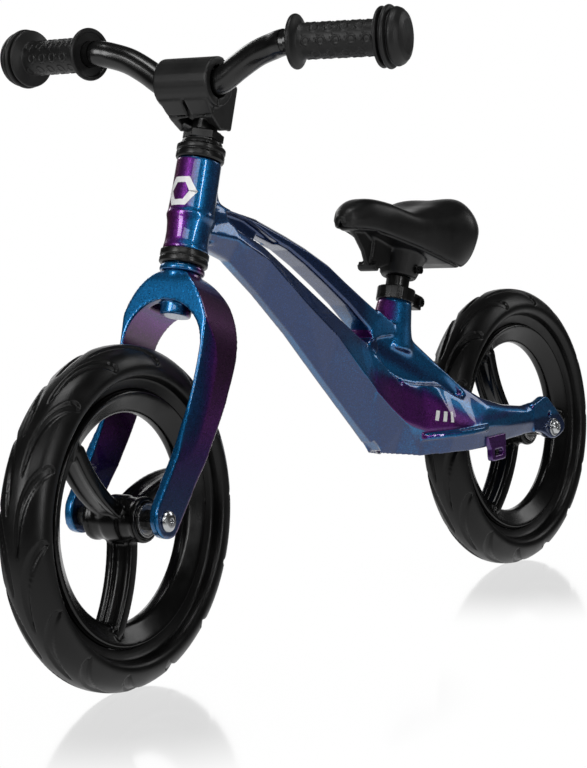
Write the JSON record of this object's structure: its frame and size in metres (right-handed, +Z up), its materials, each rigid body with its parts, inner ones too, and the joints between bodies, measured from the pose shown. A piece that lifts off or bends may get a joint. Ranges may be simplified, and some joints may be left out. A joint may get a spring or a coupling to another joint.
{
  "type": "balance bike",
  "caption": "Child's balance bike with a slotted cast frame, cast fork, foam tyres on three-arm wheels, padded saddle and raised handlebar; steers, rolls and adjusts in height.",
  "frame": {"origin": "on the ground under the middle of the bike, midway between the two wheel axles and on the frame's centre plane, below the bounding box centre", "axes": "+X forward towards the front wheel, +Y to the rider's left, +Z up"},
  "size_m": [0.8976, 0.3997, 0.5466],
  "materials": {
    "paint": "gloss",
    "loop_paint": "gloss",
    "black_steel": "gloss",
    "bright_steel": "satin",
    "wheel_black": "gloss",
    "tyre_foam": "matte",
    "grip_rubber": "matte",
    "pad_plastic": "satin",
    "base_plastic": "satin",
    "cushion": "satin"
  },
  "bodies": {
    "frame": {"frame": "paint", "strap_loop": "loop_paint", "lower_cup": "black_steel", "upper_cup": "black_steel", "seat_clamp": "black_steel", "seat_clamp_bolt": "bright_steel", "seat_clamp_nut": "bright_steel", "rear_axle": "bright_steel", "rear_hub_sleeve": "bright_steel", "rear_spacer_left": "black_steel", "rear_spacer_right": "black_steel", "rear_washer_left": "bright_steel", "rear_washer_right": "bright_steel", "rear_bolt_left": "bright_steel", "rear_bolt_right": "bright_steel"},
    "fork": {"fork": "paint", "crown_race": "bright_steel", "upper_cone": "black_steel", "lock_washer": "bright_steel", "locknut": "black_steel", "lower_bearing": "bright_steel", "upper_bearing": "bright_steel", "front_axle": "bright_steel", "front_hub_sleeve": "bright_steel", "front_spacer_left": "black_steel", "front_spacer_right": "black_steel", "front_bolt_left": "bright_steel", "front_bolt_right": "bright_steel"},
    "bars": {"stem": "black_steel", "stem_wedge": "bright_steel", "stem_bolt": "bright_steel", "handlebar": "black_steel", "grip_left": "grip_rubber", "grip_right": "grip_rubber", "pad_front": "pad_plastic", "pad_rear": "pad_plastic"},
    "front_wheel": {"front_tyre": "tyre_foam", "front_wheel": "wheel_black", "front_bearing_left": "bright_steel", "front_bearing_right": "bright_steel"},
    "rear_wheel": {"rear_tyre": "tyre_foam", "rear_wheel": "wheel_black", "rear_bearing_left": "bright_steel", "rear_bearing_right": "bright_steel"},
    "seat": {"saddle_cushion": "cushion", "saddle_base": "base_plastic", "seat_post": "black_steel", "saddle_screw": "bright_steel"}
  },
  "joints": [
    {"name": "steering", "type": "hinge", "parent": "frame", "child": "fork", "pos_m": [0.28074, 0, 0.12994], "axis": [-0.3354, 0, 0.9421], "continuous": true},
    {"name": "bar_height", "type": "slide", "parent": "fork", "child": "bars", "axis": [-0.3354, 0, 0.9421], "range_m": [0, 0.04]},
    {"name": "front_wheel_spin", "type": "hinge", "parent": "fork", "child": "front_wheel", "pos_m": [0.30893, 0.00209, 0.13997], "axis": [-0.0657, 0.9976, -0.0234], "continuous": true},
    {"name": "rear_wheel_spin", "type": "hinge", "parent": "frame", "child": "rear_wheel", "pos_m": [-0.309, 0, 0.14], "axis": [0, 1, 0], "continuous": true},
    {"name": "saddle_height", "type": "slide", "parent": "frame", "child": "seat", "axis": [-0.342, 0, 0.9397], "range_m": [-0.008, 0.06]}
  ]
}
